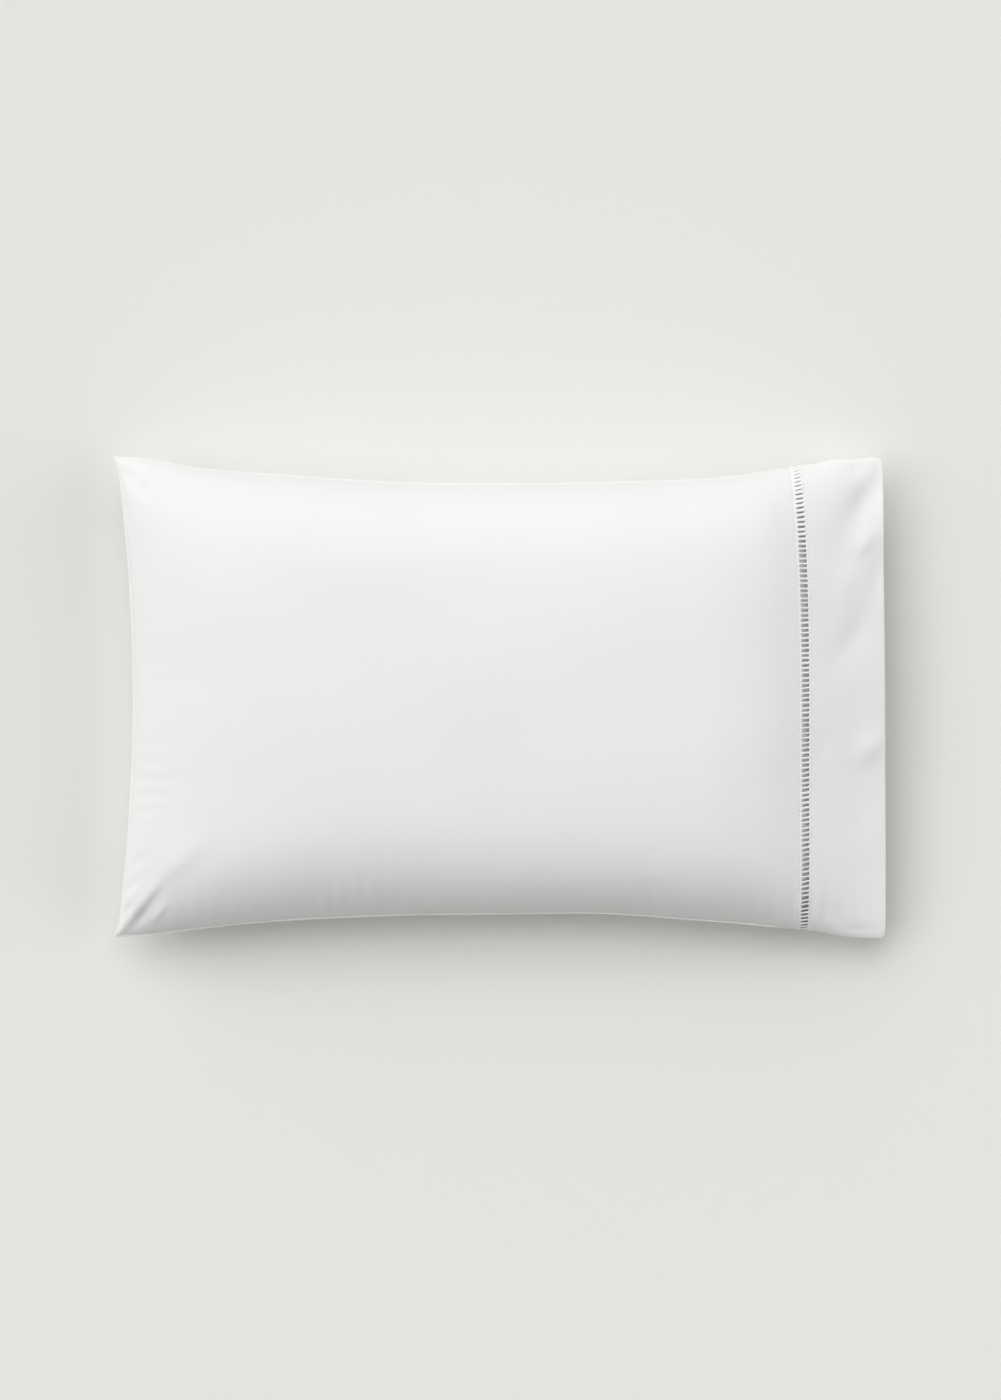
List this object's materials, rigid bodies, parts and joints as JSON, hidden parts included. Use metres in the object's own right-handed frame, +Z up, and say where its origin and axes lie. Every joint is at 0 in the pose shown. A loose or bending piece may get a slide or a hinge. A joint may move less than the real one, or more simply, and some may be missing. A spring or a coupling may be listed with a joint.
{
  "type": "pillowcase",
  "caption": "Filled pillowcase with a crowned body, drawn-in sides and a deep open cuff joined on by a hemstitched openwork strip.",
  "frame": {"origin": "middle of the outline, on the surface that the case lies on", "axes": "+X from the closed end seam towards the open mouth, +Y across the case, +Z up out of its upper face"},
  "size_m": [0.8159, 0.5088, 0.1471],
  "materials": {
    "case_cloth": "plain white cotton percale, smooth and matt with a faint sheen",
    "hemstitch": "white thread and corded edges, matt, openwork",
    "cuff_cloth": "plain white cotton percale in two layers, lightly creased, matt"
  },
  "bodies": {
    "root": {"case_body": "case_cloth", "ladder_strip": "hemstitch", "cuff": "cuff_cloth"}
  },
  "joints": []
}
